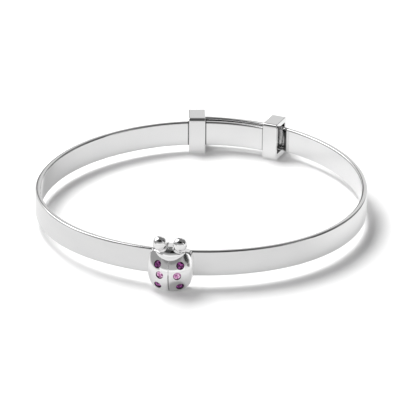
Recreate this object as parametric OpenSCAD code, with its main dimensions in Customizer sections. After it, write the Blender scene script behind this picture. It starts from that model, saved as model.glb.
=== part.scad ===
// Expandable bangle for a child: one sprung silver strip whose ends overlap at the back,
// each end soldered inside a box keeper that slides along the other end, and a cast
// ladybird with six set stones at the front.
// The bangle lies on its side. The wrist axis is Z, the ladybird faces -Y, the floor is z = 0.

/* [Strip] */
// Height of the strip, along the wrist axis
strip_w = 4.0; // [3.4:0.1:4.6]
// Thickness of the strip
strip_t = 0.87; // [0.75:0.01:1.0]

/* [Ring] */
// Distance from the wrist axis to the strip's middle behind the ladybird
front_reach = 24.3; // [23.5:0.1:25]
// Bend radius of the flatter stretch at the front
front_bend = 27.4; // [27:0.1:28]
// Bend radius of the tighter stretch between front and side
shoulder_bend = 23.1; // [22.8:0.1:23.5]
// Bend radius of the flatter stretch along the side
side_bend = 27.6; // [27:0.1:28]
// Bend radius of the back, up to the overlap
back_bend = 23.1; // [22.9:0.1:23.4]
// Bend radius of the outer end, in the overlap
outer_end_bend = 28.7; // [27:0.1:30]
// Bend radius of the inner end, in the overlap
inner_end_bend = 22.4; // [22.2:0.1:22.6]
// Bends of the half that ends inside, as a share of the other half's
inner_share = 0.9678; // [0.967:0.0002:0.969]

/* [Keepers] */
// Place of the left keeper on the outer end, in degrees of bend past the back
left_keeper_at = 7.0; // [5:0.2:9]
// Place of the right keeper on the inner end, in degrees of bend past the back
right_keeper_at = 19.6; // [16:0.5:22]
// Turn of the left keeper against the end that carries it
left_keeper_skew = 3; // [0:0.5:4]
// Turn of the right keeper against the end that carries it
right_keeper_skew = -6; // [-7:0.5:0]
// Length of a keeper along the strip
keeper_len = 2.35; // [2:0.05:2.6]
// Height of a keeper, along the wrist axis
keeper_h = 6.0; // [5.8:0.1:6.4]
// Depth of a keeper, out from the wrist
keeper_depth = 4.5; // [4.4:0.1:4.8]
// Wall of a keeper
keeper_wall = 0.6; // [0.5:0.05:0.65]
// Rounding of a keeper's outer corners
keeper_round = 0.55; // [0.3:0.05:0.6]
// Rounding of the corners of a keeper's opening
slot_round = 0.2; // [0.1:0.05:0.3]
// Room between the strip's edges and a keeper
slide_gap = 0.12; // [0.08:0.02:0.2]

/* [Ladybird] */
// Half of the body's width
body_half_w = 3.15; // [3:0.05:3.3]
// Half of the body's height
body_half_h = 3.1; // [3:0.05:3.2]
// Squareness of the body's outline: 2 is an oval
body_square = 2.8; // [2.4:0.1:3]
// How far the body's middle lies below the strip's middle
body_drop = 0.55; // [0.4:0.05:0.6]
// How far the domed wing cases stand out from the strip
body_out = 3.2; // [3:0.1:3.3]
// Radius of the dome
dome_r = 4.1; // [3.9:0.1:4.4]
// Width and depth of the groove between the wing cases
wing_groove = 0.2; // [0.1:0.02:0.3]
// How far the head stands above the wing cases
head_lift = 0.3; // [0.2:0.05:0.4]
// Radius of the head's lower edge
head_edge_r = 3.1; // [2.6:0.1:3.4]
// Height of the head's lower edge above the strip's middle
head_edge_up = 1.5; // [1.4:0.05:1.6]
// Diameter of the ball on each feeler
ball_d = 2.1; // [1.9:0.05:2.2]
// Distance from the ladybird's centre line to the middle of a ball
ball_side = 1.5; // [1.4:0.05:1.7]
// How far a ball's middle lies in front of the strip
ball_out = 1.6; // [1.4:0.1:1.7]
// Height of a ball's middle above the strip's middle
ball_up = 3.75; // [3.6:0.05:3.9]
// Diameter of a feeler's stem
stem_d = 0.75; // [0.6:0.05:0.9]

/* [Stones] */
// Diameter of a stone across its girdle
stone_d = 1.12; // [1:0.02:1.16]
// Gap between a stone and its drilled seat
stone_gap = 0.03; // [0.02:0.01:0.06]

/* [Hidden] */
$fn = 96;
outline_steps = 96;

// Angles round from the front at which one bend passes into the next
outer_turns = [30, 90, 150, 168];
inner_turns = [30, 90, 150];
outer_bends = [front_bend, shoulder_bend, side_bend, back_bend, outer_end_bend];
inner_bends = [
    front_bend * inner_share, shoulder_bend * inner_share, side_bend * inner_share,
    inner_end_bend
];
// Largest angle between two points along a bend, in degrees
bend_step = 3;
// How far a soldered face sinks into its neighbour
solder = 0.1;
// Depth of a keeper's opening
keeper_room = keeper_depth - 2 * keeper_wall;
// The outer end stops just short of the left keeper's far side, the inner end in the
// right keeper's middle
outer_end_at = 180 + left_keeper_at + 1.6;
inner_end_at = 180 + right_keeper_at;

// Front of the strip behind the ladybird, and the dome's centre
front_y = -front_reach - strip_t / 2;
dome_y = front_y - body_out + dome_r;
seat_r = stone_d / 2 + stone_gap;
// Facets round a stone, the share of its girdle that its table takes, and its depths above
// and below the girdle
facets = 8;
table_share = 0.56;
crown_h = stone_d * 0.14;
girdle_h = stone_d * 0.04;
pavilion_h = stone_d * 0.42;
// Each pair of stones: distance from the centre line, and height above the strip's middle
UPPER = [1.7, 0.8];
MIDDLE = [1.32, -0.78];
LOWER = [1.68, -2.65];

// Unit vector out from the wrist axis, at an angle round from the front
function out(a) = [sin(a), -cos(a)];
// Centre of bend number i, so that each bend is tangent to the one before it
function bend_centre(bends, turns, i) =
    i == 0
        ? [0, bends[0] - front_reach]
        : bend_centre(bends, turns, i - 1) + (bends[i - 1] - bends[i]) * out(turns[i - 1]);
// Point on the last bend's middle line, at an angle round from the front
function end_point(bends, turns, a) =
    bend_centre(bends, turns, len(turns)) + bends[len(turns)] * out(a);

// Points along one half, a distance out from its middle line, from the front to its end
function half_line(bends, turns, end_at, shift) = [
    for (i = [0:len(bends) - 1])
        let (
            from = i == 0 ? 0 : turns[i - 1],
            to = i < len(turns) ? turns[i] : end_at,
            steps = ceil((to - from) / bend_step)
        )
        for (k = [1:steps])
            bend_centre(bends, turns, i)
                + (bends[i] + shift) * out(from + (to - from) * k / steps)
];
function mirrored(points) = [for (point = points) [-point[0], point[1]]];
function reversed(points) = [for (i = [len(points) - 1:-1:0]) points[i]];
// Points along the whole strip, from the outer end round the front to the inner end
function strip_line(shift) = concat(
    reversed(half_line(outer_bends, outer_turns, outer_end_at, shift)),
    [[0, -front_reach - shift]],
    mirrored(half_line(inner_bends, inner_turns, inner_end_at, shift))
);

// At rest the body's foot and the keepers' far edges touch the floor, so the strip leans
body_low = body_drop + body_half_h;
far_y = end_point(outer_bends, outer_turns, 180 + left_keeper_at)[1] + strip_t / 2;
rest_lean = atan((body_low - keeper_h / 2) / (far_y - front_y));
rest_lift = body_low * cos(rest_lean) + front_y * sin(rest_lean);

// Point on a superellipse, at an angle
function signed_power(v, n) = sign(v) * pow(abs(v), n);
function outline_point(t) = [
    body_half_w * signed_power(cos(t), 2 / body_square),
    body_half_h * signed_power(sin(t), 2 / body_square)
];

module strip() {
    linear_extrude(strip_w, center = true)
        polygon(concat(strip_line(strip_t / 2), reversed(strip_line(-strip_t / 2))));
}

module rounded_block(size, r) {
    linear_extrude(size[2], center = true) {
        square([size[0] - 2 * r, size[1]], center = true);
        square([size[0], size[1] - 2 * r], center = true);
        for (x = [-1, 1], y = [-1, 1])
            translate([x * (size[0] / 2 - r), y * (size[1] / 2 - r)])
                circle(r = r, $fn = 48);
    }
}

// A box keeper, open along the strip. X runs out from the wrist.
module keeper_box() {
    rotate([90, 0, 0])
        difference() {
            rounded_block([keeper_depth, keeper_h, keeper_len], keeper_round);
            rounded_block([keeper_room, strip_w + 2 * slide_gap, keeper_len + 1], slot_round);
        }
}

// A keeper on the end of a layer: its middle lies at a distance out from the layer's middle
module keeper(bends, turns, at, skew, shift) {
    place = end_point(bends, turns, at);
    translate(place)
        rotate(at - 90)
            rotate(skew)
                translate([shift, 0, 0])
                    keeper_box();
}

// Soldered to the outer end, whose outer face lies against its outer wall
module left_keeper() {
    keeper(
        outer_bends, outer_turns, 180 + left_keeper_at, left_keeper_skew,
        strip_t / 2 - solder - keeper_room / 2
    );
}

// Soldered to the inner end, whose inner face lies against its inner wall
module right_keeper() {
    mirror([1, 0, 0])
        keeper(
            inner_bends, inner_turns, 180 + right_keeper_at, right_keeper_skew,
            keeper_room / 2 + solder - strip_t / 2
        );
}

// A shape drawn as seen from the front, standing out from the strip
module from_front(height) {
    translate([0, front_y, 0])
        rotate([90, 0, 0])
            translate([0, 0, -strip_t])
                linear_extrude(height + strip_t)
                    children();
}

module body_outline() {
    translate([0, -body_drop])
        polygon([for (i = [0:outline_steps - 1]) outline_point(i * 360 / outline_steps)]);
}

module at_dome() {
    translate([0, dome_y, -body_drop])
        children();
}

module wing_cases() {
    difference() {
        intersection() {
            from_front(body_out + 1)
                body_outline();
            at_dome()
                sphere(r = dome_r);
        }
        at_dome()
            rotate([0, 90, 0])
                rotate_extrude()
                    polygon([
                        [dome_r - wing_groove, 0],
                        [dome_r + wing_groove, wing_groove],
                        [dome_r + wing_groove, -wing_groove]
                    ]);
    }
}

module head() {
    intersection() {
        from_front(body_out + 1)
            intersection() {
                body_outline();
                translate([0, head_edge_up + head_edge_r])
                    circle(r = head_edge_r);
            }
        at_dome()
            sphere(r = dome_r + head_lift);
    }
}

module feeler(side) {
    ball = [side * ball_side, front_y - ball_out, ball_up];
    root = [side * stem_d / 2, front_y - ball_out, body_half_h - body_drop - stem_d];
    reach = ball - root;
    translate(ball)
        sphere(d = ball_d);
    translate(root)
        rotate([0, side * atan(abs(reach[0]) / reach[2]), 0])
            cylinder(d = stem_d, h = norm(reach), $fn = 32);
}

// Moves to a stone's girdle on the dome, with Z out from the surface
module at_seat(place, side) {
    x = side * place[0];
    z = place[1] + body_drop;
    at_dome()
        rotate([0, 0, asin(x / sqrt(dome_r * dome_r - z * z))])
            rotate([90 - asin(z / dome_r), 0, 0])
                translate([0, 0, dome_r])
                    children();
}

module seat() {
    depth = pavilion_h + girdle_h + crown_h + 2 * stone_gap;
    translate([0, 0, -depth])
        cylinder(r = seat_r, h = depth + 1, $fn = 48);
}

module ladybird() {
    difference() {
        union() {
            wing_cases();
            head();
            for (side = [-1, 1])
                feeler(side);
        }
        translate([0, front_bend - front_reach, 0])
            cylinder(r = front_bend + strip_t / 2 - solder, h = 3 * keeper_h, center = true, $fn = 360);
        for (place = [UPPER, MIDDLE, LOWER], side = [-1, 1])
            at_seat(place, side)
                seat();
    }
}

module stone(place, side) {
    at_seat(place, side)
        translate([0, 0, -crown_h - girdle_h]) {
            translate([0, 0, -pavilion_h])
                cylinder(r1 = 0.02, r2 = stone_d / 2, h = pavilion_h, $fn = facets);
            cylinder(d = stone_d, h = girdle_h, $fn = facets);
            translate([0, 0, girdle_h])
                cylinder(d1 = stone_d, d2 = stone_d * table_share, h = crown_h, $fn = facets);
        }
}

// Lays the bangle down on the floor
module at_rest() {
    translate([0, 0, rest_lift])
        rotate([-rest_lean, 0, 0])
            children();
}

module bangle() {
    color("silver")
        at_rest() {
            strip();
            left_keeper();
            right_keeper();
            ladybird();
        }
}

module purple_stone(place, side) {
    color("purple")
        at_rest()
            stone(place, side);
}

module pink_stone(place, side) {
    color("pink")
        at_rest()
            stone(place, side);
}

bangle();
purple_stone(UPPER, -1);  // upper_left_stone
purple_stone(UPPER, 1);  // upper_right_stone
pink_stone(MIDDLE, -1);  // middle_left_stone
pink_stone(MIDDLE, 1);  // middle_right_stone
purple_stone(LOWER, -1);  // lower_left_stone
purple_stone(LOWER, 1);  // lower_right_stone
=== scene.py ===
import math

import bmesh
import bpy
import numpy as np
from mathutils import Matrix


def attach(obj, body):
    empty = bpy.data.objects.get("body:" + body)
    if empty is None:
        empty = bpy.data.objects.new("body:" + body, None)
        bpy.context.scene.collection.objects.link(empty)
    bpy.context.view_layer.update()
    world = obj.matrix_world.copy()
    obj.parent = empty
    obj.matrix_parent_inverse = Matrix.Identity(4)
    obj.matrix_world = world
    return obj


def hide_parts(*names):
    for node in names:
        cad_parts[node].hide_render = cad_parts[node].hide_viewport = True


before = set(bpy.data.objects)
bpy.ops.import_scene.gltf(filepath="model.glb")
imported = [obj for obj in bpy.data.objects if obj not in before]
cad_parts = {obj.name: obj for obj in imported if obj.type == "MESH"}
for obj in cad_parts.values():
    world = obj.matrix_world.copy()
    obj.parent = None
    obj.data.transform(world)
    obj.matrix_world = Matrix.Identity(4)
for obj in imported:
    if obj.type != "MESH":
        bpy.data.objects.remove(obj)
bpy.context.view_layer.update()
print("frame loaded")

# Lengths are in millimetres and angles in degrees, in the ring's own frame: the wrist axis is Z
# and the strip's middle is at z = 0. layDown takes them to the world.
millimetre = 0.001
rest = {"lean": 0.7238, "lift": 3.3373}  # the ring leans back on the ladybird's foot and the keepers


# Ring frame to world: turned about X by the lean, lifted on to the floor, then into metres
def layDown(points):
    lean = math.radians(rest["lean"])
    x, y, z = np.moveaxis(np.asarray(points, float), -1, 0)
    return millimetre * np.stack([
        x,
        y * math.cos(lean) + z * math.sin(lean),
        z * math.cos(lean) - y * math.sin(lean) + rest["lift"],
    ], -1)


# Rises from 0 to 1 without a corner: three times the square less twice the cube
def smoothStep(x):
    x = np.clip(x, 0, 1)
    return x * x * (3 - 2 * x)


# Quads between neighbouring rows and columns of a grid; the last column meets the first
def gridQuads(rows, columns):
    row = np.arange(rows - 1)[:, None] * columns
    column = np.arange(columns)[None, :]
    following = (column + 1) % columns
    quads = np.stack([row + column, row + following, row + columns + following, row + columns + column], -1)
    return quads.reshape(-1, 4)


# A fan from one point to a closed row
def fan(centre, start, columns):
    column = np.arange(columns)
    return np.stack([np.full(columns, centre), start + (column + 1) % columns, start + column], -1)


# Faces of a bar: rows of a closed section, with one flat face at either end
def barFaces(rows, columns):
    first = np.arange(columns)[None, ::-1]
    last = (rows - 1) * columns + np.arange(columns)[None, :]
    return [gridQuads(rows, columns), first, last]


# Faces of a closed shape whose points are two poles, then the rows from the first to the second
def closedFaces(rows, columns):
    lastRow = 2 + (rows - 1) * columns
    return [gridQuads(rows, columns) + 2, fan(0, 2, columns), fan(1, lastRow, columns)[:, ::-1]]


# Volume inside closed faces: the sum of each triangle's corner products
def signedVolume(points, faceSets):
    total = 0.0
    for faces in faceSets:
        for k in range(1, faces.shape[1] - 1):
            a, b, c = points[faces[:, 0]], points[faces[:, k]], points[faces[:, k + 1]]
            total += np.einsum("ij,ij->i", a, np.cross(b, c)).sum() / 6
    return total


# Puts arrays of points and faces into a mesh, turned outwards, smooth except at sharp edges
def makePiece(name, points, faceSets, material, sharpAngle=35.0, uv=None):
    world = layDown(points)
    faceSets = [np.asarray(faces) for faces in faceSets]
    if signedVolume(world, faceSets) < 0:
        faceSets = [faces[:, ::-1] for faces in faceSets]
    corners = np.concatenate([faces.ravel() for faces in faceSets])
    sizes = np.concatenate([np.full(len(faces), faces.shape[1]) for faces in faceSets])
    mesh = bpy.data.meshes.new(name)
    mesh.vertices.add(len(world))
    mesh.vertices.foreach_set("co", world.ravel())
    mesh.loops.add(len(corners))
    mesh.loops.foreach_set("vertex_index", corners.astype(np.int32))
    mesh.polygons.add(len(sizes))
    mesh.polygons.foreach_set("loop_start", (np.cumsum(sizes) - sizes).astype(np.int32))
    mesh.polygons.foreach_set("use_smooth", np.ones(len(sizes), bool))
    if uv is not None:
        layer = mesh.uv_layers.new(name="along")
        layer.data.foreach_set("uv", np.asarray(uv)[corners].ravel())
    mesh.update(calc_edges=True)
    mesh.validate()
    mesh.set_sharp_from_angle(angle=math.radians(sharpAngle))
    mesh.materials.append(material)
    piece = bpy.data.objects.new(name, mesh)
    bpy.context.scene.collection.objects.link(piece)
    return piece


# Fixes a piece to the CAD's one body and hides the CAD nodes it stands for
def place(piece, slot, *replaced):
    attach(piece, "root")
    if replaced:
        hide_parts(*replaced)
    print("made", piece.name, len(piece.data.polygons), "faces")


# An empty node group with its sockets, for effects that several materials share
def newGroup(name, inputs, outputs):
    group = bpy.data.node_groups.new(name, "ShaderNodeTree")
    for socketName, kind, value in inputs:
        socket = group.interface.new_socket(name=socketName, in_out="INPUT", socket_type=kind)
        if value is not None:
            socket.default_value = value
    for socketName, kind in outputs:
        group.interface.new_socket(name=socketName, in_out="OUTPUT", socket_type=kind)
    return group, group.nodes.new("NodeGroupInput"), group.nodes.new("NodeGroupOutput")


# Gives a socket a number, or links it to another node's output
def feed(tree, socket, value):
    if isinstance(value, (int, float)):
        socket.default_value = value
    else:
        tree.links.new(value, socket)


# One sum, product or other operation on two values
def math2(tree, operation, first, second):
    node = tree.nodes.new("ShaderNodeMath")
    node.operation = operation
    feed(tree, node.inputs[0], first)
    feed(tree, node.inputs[1], second)
    return node.outputs[0]


# Layered noise from 0 to 1; scale is in waves per metre and detail in layers
def noise(tree, vector, scale, detail):
    node = tree.nodes.new("ShaderNodeTexNoise")
    node.inputs["Scale"].default_value = scale
    node.inputs["Detail"].default_value = detail
    tree.links.new(vector, node.inputs["Vector"])
    return node.outputs["Fac"]


# Coordinates multiplied by a scale along each axis
def stretched(tree, vector, scale):
    node = tree.nodes.new("ShaderNodeMapping")
    node.inputs["Scale"].default_value = scale
    tree.links.new(vector, node.inputs["Vector"])
    return node.outputs["Vector"]


# The coordinates divided into their three parts
def parts(tree, vector):
    node = tree.nodes.new("ShaderNodeSeparateXYZ")
    tree.links.new(vector, node.inputs["Vector"])
    return node.outputs


# Waves per metre, and layers, of each pattern that polishing leaves
polish = {
    "stretch": (40, 1600, 1600), "lines": (1.0, 3), "waves": (350, 1), "cloud": (180, 4),
}


# Hand-polished metal: fine lines along one direction, soft waves, and a faint cloud of tarnish.
# The height is lines plus waves, each times its strength. The roughness is its least value plus
# the cloud times its spread.
def buildPolish():
    group, inside, outside = newGroup(
        "polish",
        [
            ("Vector", "NodeSocketVector", None),
            ("Lines", "NodeSocketFloat", 0.5), ("Waves", "NodeSocketFloat", 0.5),
            ("Roughness", "NodeSocketFloat", 0.08), ("Spread", "NodeSocketFloat", 0.04),
        ],
        [("Tarnish", "NodeSocketFloat"), ("Roughness", "NodeSocketFloat"), ("Height", "NodeSocketFloat")],
    )
    vector = inside.outputs["Vector"]
    lines = noise(group, stretched(group, vector, polish["stretch"]), *polish["lines"])
    waves = noise(group, vector, *polish["waves"])
    cloud = noise(group, vector, *polish["cloud"])
    height = math2(
        group, "ADD",
        math2(group, "MULTIPLY", lines, inside.outputs["Lines"]),
        math2(group, "MULTIPLY", waves, inside.outputs["Waves"]),
    )
    rough = math2(
        group, "ADD", inside.outputs["Roughness"],
        math2(group, "MULTIPLY", cloud, inside.outputs["Spread"]),
    )
    group.links.new(cloud, outside.inputs["Tarnish"])
    group.links.new(rough, outside.inputs["Roughness"])
    group.links.new(height, outside.inputs["Height"])
    return group


polishGroup = buildPolish()


# Eases from 0 at one value to 1 at another, as smoothStep does
def easing(tree, value, start, end):
    node = tree.nodes.new("ShaderNodeMapRange")
    node.interpolation_type = "SMOOTHSTEP"
    node.inputs["From Min"].default_value = start
    node.inputs["From Max"].default_value = end
    tree.links.new(value, node.inputs["Value"])
    return node.outputs["Result"]


# Easing by the distance from a value: 1 on it, 0 from a width away
def nearTo(tree, value, middle, width):
    away = math2(tree, "ABSOLUTE", math2(tree, "SUBTRACT", value, middle * millimetre), 0.0)
    return easing(tree, away, width * millimetre, 0)


# Painted shade in the groove between the wing cases: nearness to the middle times an easing by
# height, from 1 at the foot to the least value towards the head
def grooveShadeMask(tree, vector, settings):
    where = parts(tree, vector)
    low, high = (height * millimetre for height in settings["height"])
    down = math2(tree, "MAXIMUM", easing(tree, where["Z"], high, low), settings["least"])
    return math2(tree, "MULTIPLY", nearTo(tree, where["X"], 0.0, settings["width"]), down)


# Painted shade where a keeper meets the strip: the greatest nearness to any of the given lengths
# along it
def seamShadeMask(tree, vector, settings):
    along = parts(tree, vector)["X"]
    mask = 0.0
    for length in settings["lengths"]:
        mask = math2(tree, "MAXIMUM", mask, nearTo(tree, along, length, settings["width"]))
    return mask


# Sterling silver: its colour runs from bright to tarnished by the cloud, then towards painted shade
# by each mask, in the groove and where the keepers meet the strip. coordinates is "Object", or
# "UV" where the polish runs along the piece.
def silverMaterial(name, settings):
    material = bpy.data.materials.new(name)
    material.use_nodes = True
    tree = material.node_tree
    shader = tree.nodes["Principled BSDF"]
    shader.inputs["Metallic"].default_value = 1.0
    source = tree.nodes.new("ShaderNodeTexCoord")
    vector = source.outputs[settings["coordinates"]]
    surface = tree.nodes.new("ShaderNodeGroup")
    surface.node_tree = polishGroup
    tree.links.new(vector, surface.inputs["Vector"])
    for socket in ("Lines", "Waves", "Roughness", "Spread"):
        surface.inputs[socket].default_value = settings[socket]
    colour = tree.nodes.new("ShaderNodeMix")
    colour.data_type = "RGBA"
    colour.inputs["A"].default_value = (*settings["bright"], 1)
    colour.inputs["B"].default_value = (*settings["tarnished"], 1)
    tree.links.new(surface.outputs["Tarnish"], colour.inputs["Factor"])
    # each mask mixes painted shade into the colour
    for part, maskOf in (("groove", grooveShadeMask), ("seamShade", seamShadeMask)):
        if part in settings:
            unshaded = colour
            colour = tree.nodes.new("ShaderNodeMix")
            colour.data_type = "RGBA"
            colour.inputs["B"].default_value = (*settings[part]["colour"], 1)
            tree.links.new(unshaded.outputs["Result"], colour.inputs["A"])
            tree.links.new(maskOf(tree, vector, settings[part]), colour.inputs["Factor"])
    tree.links.new(colour.outputs["Result"], shader.inputs["Base Color"])
    tree.links.new(surface.outputs["Roughness"], shader.inputs["Roughness"])
    bump = tree.nodes.new("ShaderNodeBump")
    bump.inputs["Strength"].default_value = settings["bump"]
    bump.inputs["Distance"].default_value = settings["bumpDepth"] * millimetre
    tree.links.new(surface.outputs["Height"], bump.inputs["Height"])
    tree.links.new(bump.outputs["Normal"], shader.inputs["Normal"])
    return material


castFinish = {
    "coordinates": "Object", "Lines": 0.1, "Waves": 0.6, "Roughness": 0.05, "Spread": 0.07,
    "bright": (0.96, 0.955, 0.95), "tarnished": (0.9, 0.9, 0.905), "bump": 0.2, "bumpDepth": 0.01,
}
castSilver = silverMaterial("cast_silver", castFinish)
# The wing cases' silver, with painted shade in the groove between them
wingSilver = silverMaterial("wing_silver", {
    **castFinish,
    "groove": {"width": 0.08, "height": (2.7, 3.4), "least": 0.12, "colour": (0.33, 0.33, 0.33)},
})
# Dark silver for the seats' hollows round the stones: painted shade
seatShadeSilver = silverMaterial("seat_shade_silver", {
    **castFinish, "Roughness": 0.25, "bright": (0.2, 0.19, 0.2), "tarnished": (0.06, 0.055, 0.06),
})


# A cut stone: clear coloured glass, its colour painted reflection. The depth of its colour is the
# facet's own painted share of light plus a part from small cells, which stand for the facets below
# that are seen through it. It has a faint painted glow in the same colour, for the light that is
# sent back from inside.
def stoneMaterial(name, settings):
    material = bpy.data.materials.new(name)
    material.use_nodes = True
    tree = material.node_tree
    shader = tree.nodes["Principled BSDF"]
    shader.inputs["Transmission Weight"].default_value = settings["clear"]
    shader.inputs["IOR"].default_value = settings["bending"]
    shader.inputs["Roughness"].default_value = settings["roughness"]
    facet = tree.nodes.new("ShaderNodeAttribute")
    facet.attribute_name = "facet"
    source = tree.nodes.new("ShaderNodeTexCoord")
    cells = tree.nodes.new("ShaderNodeTexVoronoi")
    cells.inputs["Scale"].default_value = settings["cells"]
    tree.links.new(source.outputs["Object"], cells.inputs["Vector"])
    seen = math2(tree, "MULTIPLY", parts(tree, cells.outputs["Color"])["X"], settings["sparkle"])
    depth = math2(tree, "SUBTRACT", math2(tree, "ADD", facet.outputs["Fac"], seen), settings["sparkle"] / 2)
    colour = tree.nodes.new("ShaderNodeValToRGB")
    colour.color_ramp.elements[0].color = (*settings["dark"], 1)
    colour.color_ramp.elements[1].color = (*settings["light"], 1)
    colour.color_ramp.elements.new(0.5).color = (*settings["middle"], 1)
    tree.links.new(depth, colour.inputs["Fac"])
    tree.links.new(colour.outputs["Color"], shader.inputs["Base Color"])
    tree.links.new(colour.outputs["Color"], shader.inputs["Emission Color"])
    shader.inputs["Emission Strength"].default_value = settings["glow"]
    return material


glass = {"clear": 0.3, "bending": 1.6, "roughness": 0.02, "cells": 3300}
purpleStone = stoneMaterial("purple_stone", {
    **glass, "sparkle": 0.9, "glow": 0.2,
    "dark": (0.012, 0.0005, 0.01), "middle": (0.17, 0.016, 0.155), "light": (0.5, 0.11, 0.45),
})
pinkStone = stoneMaterial("pink_stone", {
    **glass, "sparkle": 1.0, "glow": 0.3,
    "dark": (0.24, 0.06, 0.19), "middle": (0.62, 0.27, 0.52), "light": (1.0, 0.88, 0.97),
})
print("materials ready")


# Stands an object at a spot in millimetres, its own Z away from what it looks at and its Y as
# near to upright as that allows
def turnTo(thing, spot, back, upright):
    right = np.cross(upright, back)
    right = right / np.linalg.norm(right)
    matrix = np.eye(4)
    matrix[:3, :3] = np.stack([right, np.cross(back, right), back], 1)
    matrix[:3, 3] = np.array(spot) * millimetre
    thing.matrix_world = matrix.T.tolist()  # Blender takes the columns


# The camera stands where the photograph's did
view = {
    "azimuth": 9.388, "elevation": 24.684, "roll": 0.282,
    "lens": 307.3, "sensor": 36, "distance": 523.8, "aim": (-0.085, 0.966, 2.126), "farthest": 20,
}


# Stands back from the aim by the distance, turned round by the azimuth and raised by the elevation
def makeCamera():
    azimuth, elevation, roll = (math.radians(view[name]) for name in ("azimuth", "elevation", "roll"))
    level = np.array([math.cos(azimuth), math.sin(azimuth), 0])
    facing = np.array([math.sin(azimuth), -math.cos(azimuth), 0])
    upwards = np.array([0.0, 0.0, 1.0])
    back = math.cos(elevation) * facing + math.sin(elevation) * upwards
    upright = math.cos(roll) * np.cross(back, level) - math.sin(roll) * level
    data = bpy.data.cameras.new("camera")
    data.lens = view["lens"]
    data.sensor_width = view["sensor"]
    data.clip_end = view["farthest"]
    camera = bpy.data.objects.new("camera", data)
    turnTo(camera, np.array(view["aim"]) + back * view["distance"], back, upright)
    bpy.context.scene.collection.objects.link(camera)
    bpy.context.scene.camera = camera


makeCamera()


# The sprung strip: a bar with rounded edges carried along a chain of bends. At an angle round
# from the front the path is the front point plus the running sum of bend radius times heading.
ring = {
    "frontReach": 24.3, "step": 0.5, "ease": 3.0,
    "rightBends": [27.4, 23.1, 27.6, 23.1, 28.7], "rightTurns": [30, 90, 150, 168], "rightEnd": 188.6,
    "leftBends": [26.52, 22.36, 26.71, 22.4], "leftTurns": [30, 90, 150], "leftEnd": 199.6,
}
strip = {
    "height": 4.0, "thickness": 0.86, "edge": 0.33, "cornerSteps": 8, "support": 0.03,
    "endTurn": (90, 15), "endRows": 6, "leastCorner": 0.02, "girth": 9.5,
}


# The unit vector away from the wrist at each angle round from the front
def outward(angles):
    angles = np.radians(angles)
    return np.stack([np.sin(angles), -np.cos(angles)], -1)


# Points along one half, to the right; each bend eases into the next over a few degrees
def halfRing(bends, turns, end):
    angles = np.linspace(0, end, int(end / ring["step"]) + 1)
    radius = np.full(len(angles), float(bends[0]))
    for turn, before, after in zip(turns, bends, bends[1:]):
        radius += (after - before) * smoothStep((angles - turn) / ring["ease"] + 0.5)
    heading = np.stack([np.cos(np.radians(angles)), np.sin(np.radians(angles))], -1)
    speed = radius[:, None] * heading
    moves = (speed[1:] + speed[:-1]) / 2 * np.radians(angles[1] - angles[0])
    points = np.vstack([[0, 0], np.cumsum(moves, 0)]) + [0, -ring["frontReach"]]
    return angles, points


rightAngles, rightPath = halfRing(ring["rightBends"], ring["rightTurns"], ring["rightEnd"])
leftAngles, leftPath = halfRing(ring["leftBends"], ring["leftTurns"], ring["leftEnd"])
leftPath = leftPath * [-1, 1]

# Where the keepers' ends meet the visible layer: on the left half's angles, then the right half's
seamAngles = {"left": [164.7, 171.7, 196.25], "right": [153.75, 154.35]}


# Running length of a path: the sum of the distances from point to point
def lengthAlong(path):
    return np.concatenate([[0], np.cumsum(np.linalg.norm(np.diff(path, axis=0), axis=1))])


leftLength, rightLength = lengthAlong(leftPath), lengthAlong(rightPath)
rolledFinish = {
    "coordinates": "UV", "Lines": 0.35, "Waves": 0.5, "Roughness": 0.06, "Spread": 0.05,
    "bright": (0.83, 0.828, 0.825), "tarnished": (0.77, 0.77, 0.775), "bump": 0.25, "bumpDepth": 0.012,
}
keeperSilver = silverMaterial("keeper_silver", rolledFinish)
# The strip's silver, with painted shade where the keepers meet it
rolledSilver = silverMaterial("rolled_silver", {
    **rolledFinish,
    "seamShade": {
        "width": 0.22, "colour": (0.1, 0.1, 0.1),
        "lengths": [
            *(leftLength[-1] - np.interp(seamAngles["left"], leftAngles, leftLength)),
            *(leftLength[-1] + np.interp(seamAngles["right"], rightAngles, rightLength)),
        ],
    },
})


# A loop round a rectangle with round corners: quarter arcs, with one more point close to each
# end of a straight side, so that the flats shade flat
def roundedLoop(halfWidth, halfHeight, radius, steps, support):
    turn = np.radians(np.linspace(0, 90, steps + 1))
    corners = []
    for quarter, (x, y) in enumerate(((1, 1), (-1, 1), (-1, -1), (1, -1))):
        angle = turn + quarter * math.pi / 2
        centre = np.array([x * (halfWidth - radius), y * (halfHeight - radius)])
        arc = centre + radius * np.stack([np.cos(angle), np.sin(angle)], -1)
        before = arc[0] - support * np.array([-math.sin(angle[0]), math.cos(angle[0])])
        after = arc[-1] + support * np.array([-math.sin(angle[-1]), math.cos(angle[-1])])
        corners.append(np.vstack([before, arc, after]))
    return np.vstack(corners)


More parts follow.
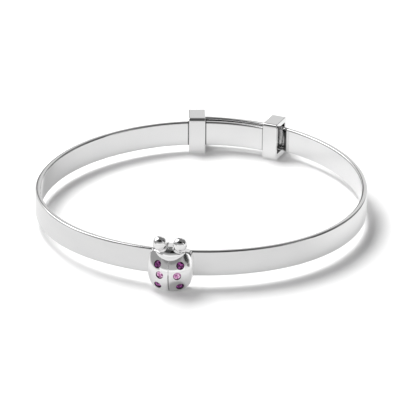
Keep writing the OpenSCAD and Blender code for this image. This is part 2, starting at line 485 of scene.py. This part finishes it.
# Carries the section along both halves, from the left half's end to the right half's
def makeStrip():
    angles = np.concatenate([-leftAngles[:0:-1], rightAngles])
    path = np.concatenate([leftPath[:0:-1], rightPath])
    side = outward(angles)
    along = lengthAlong(path)
    half = np.array([strip["thickness"], strip["height"]]) / 2
    # the ends are rounded off: the section shrinks by the edge's arc over the last stretch
    arc = np.radians(np.linspace(*strip["endTurn"], strip["endRows"]))
    inset = strip["edge"] * (1 - np.sin(arc))
    advance = strip["edge"] * np.cos(arc)
    rows, lengths = [], []

    # one section, drawn in by the shrink on every side
    def addRow(centre, normal, shrink, length):
        corner = max(strip["edge"] - shrink, strip["leastCorner"])
        loop = roundedLoop(*(half - shrink), corner, strip["cornerSteps"], strip["support"])
        rows.append(np.column_stack([centre + loop[:, :1] * normal, loop[:, 1]]))
        lengths.append(length)

    startHeading = (path[0] - path[1]) / np.linalg.norm(path[0] - path[1])
    endHeading = (path[-1] - path[-2]) / np.linalg.norm(path[-1] - path[-2])
    reach = strip["edge"]
    for shrink, move in zip(inset[::-1], advance[::-1]):
        addRow(path[0] + startHeading * (move - reach), side[0], shrink, -move)
    for centre, normal, length in zip(path[1:-1], side[1:-1], along[1:-1]):
        addRow(centre, normal, 0.0, length)
    for shrink, move in zip(inset, advance):
        addRow(path[-1] + endHeading * (move - reach), side[-1], shrink, along[-1] + move)
    columns = len(rows[0])
    points = np.concatenate(rows)
    around = np.arange(columns) / columns * strip["girth"]
    uv = np.stack(np.broadcast_arrays(np.array(lengths)[:, None], around[None, :]), -1) * millimetre
    piece = makePiece(
        "strip", points, barFaces(len(rows), columns), rolledSilver, uv=uv.reshape(-1, 2),
    )
    place(piece, "silver", "bangle")


makeStrip()


# What the two box keepers have in common
keeper = {
    "depth": 4.5, "height": 5.996, "wall": 0.6, "slotHeight": 4.24,
    "corner": 0.58, "slotCorner": 0.2, "edge": 0.12, "edgeSteps": 6, "cornerSteps": 12, "sunk": 0.1,
    "support": 0.03, "edgeSupport": 0.02,
}


# A keeper: its wall's rounded section carried round the opening, from a loop outside to a loop
# inside. x runs out from the wrist, t along the strip.
def makeKeeper(name, centre, settings, mirrored):
    fineness = keeper["cornerSteps"], keeper["support"]
    half = keeper["depth"] / 2
    outer = roundedLoop(half, keeper["height"] / 2, keeper["corner"], *fineness)
    inner = roundedLoop(half - keeper["wall"], keeper["slotHeight"] / 2, keeper["slotCorner"], *fineness)
    across = inner - outer
    thick = np.linalg.norm(across, axis=1, keepdims=True)
    across = across / thick
    section = roundedLoop(
        1, settings["length"] / 2, keeper["edge"], keeper["edgeSteps"], keeper["edgeSupport"],
    )
    # a section's x is +1 at the outer face and -1 at the inner one, each with its own rounding
    depth = np.where(section[:, 0] > 0, 1 - section[:, 0], thick - (1 + section[:, 0]))
    flat = outer[:, None, :] + across[:, None, :] * depth[:, :, None]
    t = np.broadcast_to(section[:, 1], depth.shape)
    turn = np.radians(settings["at"] + settings["skew"])
    radial = np.array([math.sin(turn), -math.cos(turn)])
    tangent = np.array([math.cos(turn), math.sin(turn)])
    ground = centre + flat[..., :1] * radial + t[..., None] * tangent
    points = np.concatenate([ground, flat[..., 1:]], -1)
    if mirrored:
        points = points * [-1, 1, 1]
    rows, columns = points.shape[:2]
    points = np.concatenate([points, points[:1]])  # the loop closes on its first section
    quads = gridQuads(rows + 1, columns) % (rows * columns)
    uv = np.stack([points[..., 2], t[np.r_[0:rows, 0]]], -1)[:rows] * millimetre
    piece = makePiece(name, points[:rows].reshape(-1, 3), [quads], keeperSilver, uv=uv.reshape(-1, 2))
    place(piece, "silver", "bangle")


# Where a keeper sits: the point of its strip's end, moved out from the wrist by a shift
def keeperCentre(angles, path, settings, shift):
    point = [np.interp(settings["at"], angles, path[:, axis]) for axis in (0, 1)]
    return np.array(point) + shift * outward(settings["at"] + settings["skew"])


# The halves overlap at the back: the right half ends in the left keeper. The left half ends in the
# right keeper, which is made mirrored, as that half is. A layer is sunk a little into the wall it
# is soldered to.
room = keeper["depth"] - 2 * keeper["wall"]
sink = strip["thickness"] / 2 - keeper["sunk"]
reach = room / 2 - sink
leftKeeper = {"at": 187.15, "skew": 3.0, "length": 2.6}
rightKeeper = {"at": 199.8, "skew": -6.0, "length": 2.3}
leftCentre = keeperCentre(rightAngles, rightPath, leftKeeper, -reach)
rightCentre = keeperCentre(leftAngles, leftPath * [-1, 1], rightKeeper, reach)
makeKeeper("left_keeper", leftCentre, leftKeeper, False)
makeKeeper("right_keeper", rightCentre, rightKeeper, True)


# The ladybird, in (across, up, out): across is x, up is z, out is the distance in front of the
# strip's outer face.
frontFace = -ring["frontReach"] - strip["thickness"] / 2


# The ladybird's frame to the ring's
def fromFront(across, up, out):
    return np.stack([across, frontFace - out, up], -1)


body = {
    "halfWidth": 3.32, "halfHeight": 3.09, "squareTop": 4.4, "squareFoot": 2.8, "drop": 0.55,
    "peak": 3.15, "crest": -0.5, "sideBend": 4.1, "lowerBend": 5.2, "upperSlope": 0.716, "upperEase": 1.214,
    "grooveDepth": 0.15, "grooveWidth": 0.055, "crease": 0.055, "back": -0.12,
    "columns": 480, "capRows": 110, "creaseRows": 8, "wallRows": 8, "wallDrop": 0.2, "fineSteps": 20001,
}


# How far the wing cases stand out: a peak, less a circle's drop to each side, a flatter circle's
# drop below the crest and a hyperbola's drop above it
def wingOut(across, up):
    rise = up - body["crest"]
    side = body["sideBend"] - np.sqrt(body["sideBend"] ** 2 - across ** 2)
    below = body["lowerBend"] - np.sqrt(body["lowerBend"] ** 2 - np.minimum(rise, 0) ** 2)
    above = body["upperSlope"] * (np.hypot(np.maximum(rise, 0), body["upperEase"]) - body["upperEase"])
    return body["peak"] - side - below - above


# The groove between the wing cases: a bell-shaped cut along the middle
def groove(across):
    return body["grooveDepth"] * np.exp(-(across / body["grooveWidth"]) ** 2)


# The body's outline: a superellipse, the cosine and sine each to a power that makes it squarer
# above than below
def bodyOutline(angles):
    power = 2 / np.where(np.sin(angles) > 0, body["squareTop"], body["squareFoot"])
    return (
        body["halfWidth"] * np.sign(np.cos(angles)) * np.abs(np.cos(angles)) ** power,
        body["halfHeight"] * np.sign(np.sin(angles)) * np.abs(np.sin(angles)) ** power - body["drop"],
    )


# Cap rows shrink the outline to the middle, a short curve turns over the crease, then the wall
# runs back to the strip
def makeBody():
    # columns are even along the outline, not in its angle
    fine = np.linspace(0, 2 * math.pi, body["fineSteps"])
    length = lengthAlong(np.stack(bodyOutline(fine), 1))
    angles = np.interp(np.arange(body["columns"]) / body["columns"] * length[-1], length, fine)
    edgeX, edgeZ = bodyOutline(angles)
    edgeOut = wingOut(edgeX, edgeZ)
    middleZ = -body["drop"]
    rows = []
    shares = np.linspace(0, 1, body["capRows"] + 1)[1:] * (1 - body["crease"])
    for share in shares:
        across, up = edgeX * share, middleZ + (edgeZ - middleZ) * share
        rows.append(fromFront(across, up, wingOut(across, up) - groove(across)))
    start = rows[-1]
    control = fromFront(edgeX, edgeZ, edgeOut - groove(edgeX) / 2)
    wallOut = edgeOut - body["wallDrop"]
    wallTop = fromFront(edgeX, edgeZ, wallOut)
    for t in np.linspace(0, 1, body["creaseRows"] + 1)[1:]:
        rows.append((1 - t) ** 2 * start + 2 * t * (1 - t) * control + t * t * wallTop)
    # the back follows the strip: it falls off by the square of the distance over twice the bend
    backOut = body["back"] - edgeX ** 2 / (2 * ring["rightBends"][0])
    for t in np.linspace(0, 1, body["wallRows"] + 1)[1:]:
        rows.append(fromFront(edgeX, edgeZ, wallOut * (1 - t) + backOut * t))
    rows.append(fromFront(edgeX / 2, (edgeZ + middleZ) / 2, (backOut + body["back"]) / 2))
    poles = [
        fromFront(0.0, middleZ, wingOut(0.0, middleZ) - groove(0.0)),
        fromFront(0.0, middleZ, body["back"]),
    ]
    points = np.concatenate([np.array(poles), np.concatenate(rows)])
    return makePiece("wing_cases", points, closedFaces(len(rows), body["columns"]), wingSilver)


# A frame on the wing cases: the point, and the unit vector out of the surface, from the slopes
# across and up
def onWing(across, up, sideways):
    step = 1e-4
    slopeA = (wingOut(across + step, up) - wingOut(across - step, up)) / (2 * step)
    slopeU = (wingOut(across, up + step) - wingOut(across, up - step)) / (2 * step)
    normal = np.array([-slopeA, -1.0, -slopeU])
    point = fromFront(np.float64(across), np.float64(up), wingOut(across, up))
    normal = normal / np.linalg.norm(normal)
    return point * [sideways, 1, 1], normal * [sideways, 1, 1]


# Points of a shape round an axis: radius and height along the axis, at each angle
def aroundAxis(point, axis, radius, height, angles):
    helper = np.cross(axis, [0.0, 0.0, 1.0])
    helper = helper / np.linalg.norm(helper)
    other = np.cross(axis, helper)
    circle = np.cos(angles)[..., None] * helper + np.sin(angles)[..., None] * other
    return point + radius[..., None] * circle + height[..., None] * axis


# Where the stones sit on the right wing case, and the painted light on the table of each side's stone
stones = {
    "upper": {
        "across": 1.7, "up": 0.74, "turns": (0.4, 0.55),
        "material": purpleStone, "slot": "purple_stone",
    },
    "middle": {
        "across": 1.32, "up": -0.78, "turns": (0.08, 0.5),
        "material": pinkStone, "slot": "pink_stone",
    },
    "lower": {
        "across": 1.68, "up": -2.65, "turns": (0.75, 0.35),
        "material": purpleStone, "slot": "purple_stone",
    },
}
cut = {
    "radius": 0.56, "table": 0.57, "star": 0.79, "crown": 0.17, "starHeight": 0.62, "girdle": 0.03,
    "pavilion": 0.42, "pavilionRing": 0.42, "ringDepth": 0.62, "sunk": 0.05, "wander": 0.618, "rim": 0.15,
}
seatProfile = {  # radius and height above the wing's surface, from the mouth to the bottom
    "radius": [0.70, 0.635, 0.60, 0.59, 0.50, 0.20, 0.0],
    "height": [0.10, 0.01, -0.03, -0.26, -0.36, -0.70, -0.74],
    "columns": 64, "sharp": 30, "shortest": 1e-4,
}


# Takes the seat's turned shape out of the wing cases at each stone; the hollow keeps the cutter's
# dark silver, painted shade in the seat
def drillSeats(wings):
    columns = seatProfile["columns"]
    angles = np.linspace(0, 2 * math.pi, columns, endpoint=False)
    radius, height = (np.array(seatProfile[key]) for key in ("radius", "height"))
    for stone in stones.values():
        for sideways in (-1, 1):
            point, axis = onWing(stone["across"], stone["up"], sideways)
            shape = aroundAxis(
                point, axis, *np.broadcast_arrays(radius[:-1, None], height[:-1, None], angles[None, :]),
            )
            ends = point + np.array([height[0], height[-1]])[:, None] * axis
            points = np.concatenate([ends, shape.reshape(-1, 3)])
            cutter = makePiece("cutter", points, closedFaces(len(radius) - 1, columns), seatShadeSilver)
            drill = wings.modifiers.new("seat", "BOOLEAN")
            drill.operation = "DIFFERENCE"
            drill.solver = "EXACT"
            drill.material_mode = "TRANSFER"
            drill.object = cutter
            bpy.context.view_layer.objects.active = wings
            with bpy.context.temp_override(object=wings, active_object=wings):
                bpy.ops.object.modifier_apply(modifier=drill.name)
            bpy.data.objects.remove(cutter)
    # the drilling leaves an edge or two of no length; they are taken out
    mesh = bmesh.new()
    mesh.from_mesh(wings.data)
    bmesh.ops.dissolve_degenerate(mesh, dist=seatProfile["shortest"] * millimetre, edges=mesh.edges)
    mesh.to_mesh(wings.data)
    mesh.free()
    wings.data.set_sharp_from_angle(angle=math.radians(seatProfile["sharp"]))


wings = makeBody()
drillSeats(wings)
place(wings, "silver", "bangle")


# The head: a raised crescent over the top of the wing cases
head = {
    "edgeUp": 1.55, "edgeBend": 3.8, "reach": 2.2, "step": 0.36, "slope": 0.12, "bow": 0.08, "proud": 0.01,
    "top": 0.04, "swell": 0.36, "swellWidth": 1.25, "crown": 0.3, "leastTall": 0.06, "overlap": 0.05,
    "foot": (0.02, 0.3), "lowerRound": 0.09, "lowerTurn": (-90, -12), "lowerSteps": 7,
    "topRound": 1.1, "topShare": 0.7, "faceShare": 0.8, "faceSteps": 14, "turnSteps": 9,
    "roofDepth": 1.1, "roofFlat": 0.1, "back": -0.05, "ends": 0.985, "columns": 121, "sharp": 50,
}


# At each place across, a closed section rises from the wing, follows the face up, turns over the
# top and runs back. The lower edge is a circle's arc across. The top is the body's outline, plus a
# bell-shaped swell between the feelers.
def makeHead():
    share = np.sin(np.linspace(-math.pi / 2, math.pi / 2, head["columns"]) * head["ends"])
    across = share * head["reach"]
    low = head["edgeUp"] + head["edgeBend"] - np.sqrt(head["edgeBend"] ** 2 - across ** 2)
    power = body["squareTop"]
    outline = (1 - np.abs(across / body["halfWidth"]) ** power) ** (1 / power)
    top = body["halfHeight"] * outline - body["drop"]
    swell = np.exp(-(across / head["swellWidth"]) ** 4)
    top = top + head["top"] + head["swell"] * swell
    crown = top + head["crown"] * swell
    fade = np.sqrt(1 - share ** 6)  # the step and its rounding run out towards both ends
    tall = np.maximum(top - low, head["leastTall"])
    low = top - tall
    base = wingOut(across, np.minimum(low, top - head["overlap"]))
    front = base + head["step"] * fade + head["proud"]
    footUp, footIn = head["foot"]
    section = [(low + footUp, base - footIn)]
    # the lower edge turns from down to forward
    small = head["lowerRound"] * np.minimum(1, fade * 2)
    for angle in np.radians(np.linspace(*head["lowerTurn"], head["lowerSteps"])):
        section.append((low + small + small * np.sin(angle), front - small + small * np.cos(angle)))
    # the face leans back by its slope and by its bow times the square of the height
    large = np.minimum(head["topRound"], tall * head["topShare"])
    for t in np.linspace(0, 1, head["faceSteps"]):
        up = low + small + (top - large * head["faceShare"] - low - small) * t
        rise = up - low
        section.append((up, front - head["slope"] * rise - head["bow"] * rise * rise))
    # a parabola turns from the face over the top
    lastUp, lastOut = section[-1]
    cornerOut = lastOut - (head["slope"] + 2 * head["bow"] * (lastUp - low)) * (top - lastUp)
    roofOut = lastOut - large * head["roofDepth"]
    for t in np.linspace(0, 1, head["turnSteps"])[1:]:
        up = (1 - t) ** 2 * lastUp + 2 * t * (1 - t) * top + t * t * crown
        out = (1 - t) ** 2 * lastOut + 2 * t * (1 - t) * cornerOut + t * t * roofOut
        section.append((up, out))
    back = np.full_like(top, head["back"])
    section += [(crown, roofOut - head["roofFlat"]), (crown, back), (crown - head["roofFlat"], back)]
    ups, outs = (np.stack(values, 1) for values in zip(*section))
    points = fromFront(np.broadcast_to(across[:, None], ups.shape), ups, outs)
    piece = makePiece(
        "head", points.reshape(-1, 3), barFaces(*ups.shape), castSilver, sharpAngle=head["sharp"],
    )
    place(piece, "silver", "bangle")


makeHead()


# A feeler: a stem that flares from the head and ends in a ball
feeler = {
    "root": (0.45, 2.5, 1.35), "ball": (1.5, 3.75, 1.6), "ballRadius": 1.05, "ballRows": 60,
    "stemRadius": 0.4, "flare": 0.2, "neck": 1.25, "stemRows": 14, "columns": 96, "sharp": 60,
}


# One profile turned round its axis. The stem's radius is its own, plus the flare times the square
# of the share still to go, plus the step to the ball times the fourth power of the share done.
def makeFeeler(name, sideways):
    root, ball = (fromFront(*np.array(feeler[key])) * [sideways, 1, 1] for key in ("root", "ball"))
    reach = np.linalg.norm(ball - root)
    axis = (ball - root) / reach
    size, stem, columns = (feeler[key] for key in ("ballRadius", "stemRadius", "columns"))
    neck = math.pi - np.arcsin(stem / size) * feeler["neck"]
    polar = np.linspace(neck, 0, feeler["ballRows"])
    ballRadius, ballHeight = size * np.sin(polar), reach + size * np.cos(polar)
    done = np.linspace(0, 1, feeler["stemRows"])[:-1]
    stemRadius = stem + feeler["flare"] * (1 - done) ** 2 + (ballRadius[0] - stem) * done ** 4
    radius = np.concatenate([stemRadius, ballRadius[:-1]])
    height = np.concatenate([ballHeight[0] * done, ballHeight[:-1]])
    angles = np.linspace(0, 2 * math.pi, columns, endpoint=False)
    shape = aroundAxis(root, axis, *np.broadcast_arrays(radius[:, None], height[:, None], angles[None, :]))
    points = np.concatenate([np.array([root, ball + size * axis]), shape.reshape(-1, 3)])
    faces = closedFaces(len(radius), columns)
    piece = makePiece(name, points, faces, castSilver, sharpAngle=feeler["sharp"])
    place(piece, "silver", "bangle")


makeFeeler("left_feeler", -1)
makeFeeler("right_feeler", 1)


# A round brilliant: a table, eight star facets, eight kites and sixteen small facets above the
# girdle, sixteen small facets and eight kites below it
def makeStone(name, stone, sideways):
    point, axis = onWing(stone["across"], stone["up"], sideways)
    radius = cut["radius"]
    crown, girdle, pavilion = (2 * radius * cut[key] for key in ("crown", "girdle", "pavilion"))
    eighth = np.arange(8) * math.pi / 4
    sixteenth = np.arange(16) * math.pi / 8
    half = math.pi / 8
    rings = [
        (radius * cut["table"], crown + girdle, eighth),
        (radius * cut["star"], crown * cut["starHeight"] + girdle, eighth + half),
        (radius, girdle, sixteenth),
        (radius, 0.0, sixteenth),
        (radius * cut["pavilionRing"], -pavilion * cut["ringDepth"], eighth + half),
    ]
    down = cut["sunk"] + crown + girdle
    corners = [
        aroundAxis(point, axis, np.full(len(angles), wide), np.full(len(angles), height - down), angles)
        for wide, height, angles in rings
    ]
    culet = point - (pavilion + down) * axis
    points = np.concatenate([*corners, culet[None, :]])
    n = np.arange(8)
    m = np.arange(16)
    table, star, upper, lower, deep, tip = 0, 8, 16, 32, 48, 56  # where each ring's points start
    after = (n + 1) % 8
    before = (n - 1) % 8
    faces = [
        (table + n)[None, :],
        np.stack([table + n, star + n, table + after], 1),
        np.stack([table + n, star + before, upper + 2 * n, star + n], 1),
        np.stack([star + n, upper + 2 * n, upper + 2 * n + 1], 1),
        np.stack([star + n, upper + 2 * n + 1, upper + (2 * n + 2) % 16], 1),
        np.stack([upper + m, lower + m, lower + (m + 1) % 16, upper + (m + 1) % 16], 1),
        np.stack([deep + n, lower + 2 * n, lower + 2 * n + 1], 1)[:, ::-1],
        np.stack([deep + n, lower + 2 * n + 1, lower + (2 * n + 2) % 16], 1)[:, ::-1],
        np.stack([deep + before, np.full(8, tip), deep + n, lower + 2 * n], 1),
    ]
    piece = makePiece(name + "_cut", points, faces, stone["material"], sharpAngle=1)
    mesh = piece.data
    mesh.polygons.foreach_set("use_smooth", np.zeros(len(mesh.polygons), bool))
    # each facet gets its own painted share of light: a number that wanders from facet to facet.
    # The table, stars, kites and small facets are the crown; the girdle and what is below get painted
    # shade.
    sizes = [len(faceSet) for faceSet in faces]
    crownSets = 5
    order = np.arange(sum(sizes))
    shade = (order * cut["wander"] + stone["turns"][sideways > 0]) % 1
    shade[sum(sizes[:crownSets]):] *= cut["rim"]
    mesh.attributes.new("facet", "FLOAT", "FACE").data.foreach_set("value", shade)
    place(piece, stone["slot"], name)


for level, stone in stones.items():
    makeStone(level + "_left_stone", stone, -1)
    makeStone(level + "_right_stone", stone, 1)


# A plain pale floor. The photograph's floor was bleached to pure white, so the camera sees it
# lighter than the silver does. For the silver it also has a painted glow that lights it evenly,
# whatever shades it: more so towards the back right, with a painted shadow close to the ladybird's foot.
floor = {
    "half": 3000.0, "seen": (0.97, 0.97, 0.97), "reflected": (0.4, 0.4, 0.4),
    "glow": (0.36, 0.54), "from": 3.0, "to": 22.0,
    "foot": (1.5, -27.6, 0.0), "near": 0.8, "far": 2.5, "least": 0.33,
}


# The silver sees the painted glow, eased from one value to the other along x plus y, times a
# painted shadow: an easing by the distance from the foot that stops at its least value. The camera
# sees none of it.
def makeFloor():
    half = floor["half"] * millimetre
    mesh = bpy.data.meshes.new("floor")
    corners = [(x * half, y * half, 0) for x, y in ((-1, -1), (1, -1), (1, 1), (-1, 1))]
    mesh.from_pydata(corners, [], [(0, 1, 2, 3)])
    piece = bpy.data.objects.new("floor", mesh)
    bpy.context.scene.collection.objects.link(piece)
    material = bpy.data.materials.new("white_paper")
    material.use_nodes = True
    tree = material.node_tree
    shader = tree.nodes["Principled BSDF"]
    shader.inputs["Roughness"].default_value = 1.0
    shader.inputs["Specular IOR Level"].default_value = 0.0
    colour = tree.nodes.new("ShaderNodeMix")
    colour.data_type = "RGBA"
    colour.inputs["A"].default_value = (*floor["reflected"], 1)
    colour.inputs["B"].default_value = (*floor["seen"], 1)
    path = tree.nodes.new("ShaderNodeLightPath")
    tree.links.new(path.outputs["Is Camera Ray"], colour.inputs["Factor"])
    tree.links.new(colour.outputs["Result"], shader.inputs["Base Color"])
    source = tree.nodes.new("ShaderNodeTexCoord")
    ground = parts(tree, source.outputs["Object"])
    along = math2(tree, "ADD", ground["X"], ground["Y"])
    start, end = (floor[key] * millimetre * math.sqrt(2) for key in ("from", "to"))
    level = easing(tree, along, start, end)
    glow = tree.nodes.new("ShaderNodeMix")
    glow.inputs["A"].default_value, glow.inputs["B"].default_value = floor["glow"]
    tree.links.new(level, glow.inputs["Factor"])
    unseen = math2(tree, "SUBTRACT", 1.0, path.outputs["Is Camera Ray"])
    away = tree.nodes.new("ShaderNodeVectorMath")
    away.operation = "DISTANCE"
    tree.links.new(source.outputs["Object"], away.inputs[0])
    away.inputs[1].default_value = [length * millimetre for length in floor["foot"]]
    near, far = floor["near"] * millimetre, floor["far"] * millimetre
    lit = math2(tree, "MAXIMUM", easing(tree, away.outputs["Value"], near, far), floor["least"])
    light = math2(tree, "MULTIPLY", math2(tree, "MULTIPLY", glow.outputs["Result"], lit), unseen)
    tree.links.new(light, shader.inputs["Emission Color"])
    shader.inputs["Emission Strength"].default_value = 1.0
    mesh.materials.append(material)


makeFloor()


# The studio: a long softbox above, behind and to the left of the ring, and a weaker one low at
# the left in front that lightens the shadows. The silver sees the cards below in their stead.
lamps = {
    "key": {"place": (-93.0, 112.0, 219.0), "size": (130.0, 180.0), "power": 0.69},
    "fill": {"place": (-170.0, -290.0, 200.0), "size": (200.0, 200.0), "power": 0.42},
}


# Each lamp looks at the middle of the ring
def makeLamps():
    for name, lamp in lamps.items():
        data = bpy.data.lights.new(name, "AREA")
        data.shape = "RECTANGLE"
        data.size, data.size_y = (length * millimetre for length in lamp["size"])
        data.energy = lamp["power"]
        light = bpy.data.objects.new(name, data)
        spot = np.array(lamp["place"])
        turnTo(light, spot, spot / np.linalg.norm(spot), np.array([0.0, 1.0, 0.0]))
        light.visible_glossy = False
        bpy.context.scene.collection.objects.link(light)


# What polished silver sees round it: cards by the side they stand on, 0 in front, positive to the
# right and 180 behind, and by their height above the table, both in degrees. A leaning card's
# side is where it would meet the table; from there it moves towards the front by the lean for
# each degree of height. A later card covers an earlier one.
darkness = 0.18
cards = {
    "wall behind": {"side": (-400, 400), "height": (-40, 36), "light": 0.78, "soft": 4},
    "wall in front": {"side": (-50, 58), "height": (-40, 15), "light": 0.98, "soft": 3},
    "low wall at the right": {"side": (56, 100), "height": (-40, 6), "light": 0.9, "soft": 4},
    "grey in front": {"side": (-60, 67), "height": (15, 33), "light": 0.43, "soft": 3},
    "dim over the front": {"side": (-60, 66), "height": (32, 46), "light": 0.24, "soft": 3},
    "grey at the left": {"side": (-112, -45), "height": (3, 46), "light": 0.33, "soft": 4},
    "dark over the left": {"side": (-62, -8), "height": (44, 80), "light": 0.06, "soft": 4},
    "black over the front": {"side": (-8, 64), "height": (44, 76), "light": 0.006, "soft": 4},
    "grey behind": {"side": (116, 158), "height": (8, 60), "light": 0.2, "soft": 4},
    "strip lamp": {"side": (93, 99), "height": (10, 28), "light": 1.5, "soft": 2, "lean": 1.08},
    "dim beside it": {"side": (79, 88), "height": (3, 14), "light": 0.2, "soft": 2, "lean": 1.08},
    "dark beside it": {"side": (84, 92), "height": (14, 22), "light": 0.04, "soft": 2, "lean": 1.08},
    "black beside it": {"side": (83.5, 91.5), "height": (21, 32), "light": 0.003, "soft": 2, "lean": 1.08},
    "low lamp": {"side": (79, 92), "height": (2, 13), "light": 1.1, "soft": 3},
    "dark beside the lamp": {"side": (87, 116), "height": (12, 42), "light": 0.05, "soft": 3},
    "softbox": {"side": (-148, -86), "height": (28, 70), "light": 2.2, "soft": 3},
    "grey beside the softbox": {"side": (-167, -150), "height": (0, 75), "light": 0.2, "soft": 3},
}


# 1 between two values, easing to 0 over a width at each
def within(tree, value, low, high, soft):
    sides = []
    for start, end in ((low - soft / 2, low + soft / 2), (high + soft / 2, high - soft / 2)):
        node = tree.nodes.new("ShaderNodeMapRange")
        node.inputs["From Min"].default_value = start
        node.inputs["From Max"].default_value = end
        tree.links.new(value, node.inputs["Value"])
        sides.append(node.outputs["Result"])
    return math2(tree, "MULTIPLY", *sides)


# The side is the direction's angle round from the front and the height its angle above the table
def makeRoom():
    world = bpy.data.worlds.new("room")
    bpy.context.scene.world = world
    world.use_nodes = True
    tree = world.node_tree
    source = tree.nodes.new("ShaderNodeTexCoord")
    direction = parts(tree, source.outputs["Generated"])
    toDegrees = math.degrees(1)
    backwards = math2(tree, "MULTIPLY", direction["Y"], -1.0)
    side = math2(tree, "MULTIPLY", math2(tree, "ARCTAN2", direction["X"], backwards), toDegrees)
    height = math2(tree, "MULTIPLY", math2(tree, "ARCSINE", direction["Z"], 0.0), toDegrees)
    light = darkness
    for card in cards.values():
        across = side
        if "lean" in card:
            across = math2(tree, "ADD", side, math2(tree, "MULTIPLY", height, card["lean"]))
        mask = math2(
            tree, "MULTIPLY",
            within(tree, across, *card["side"], card["soft"]),
            within(tree, height, *card["height"], card["soft"]),
        )
        mix = tree.nodes.new("ShaderNodeMix")
        tree.links.new(mask, mix.inputs["Factor"])
        feed(tree, mix.inputs["A"], light)
        mix.inputs["B"].default_value = card["light"]
        light = mix.outputs["Result"]
    tree.links.new(light, tree.nodes["Background"].inputs["Color"])


makeLamps()
makeRoom()
bpy.context.scene.view_settings.view_transform = "Standard"
print("stage ready")
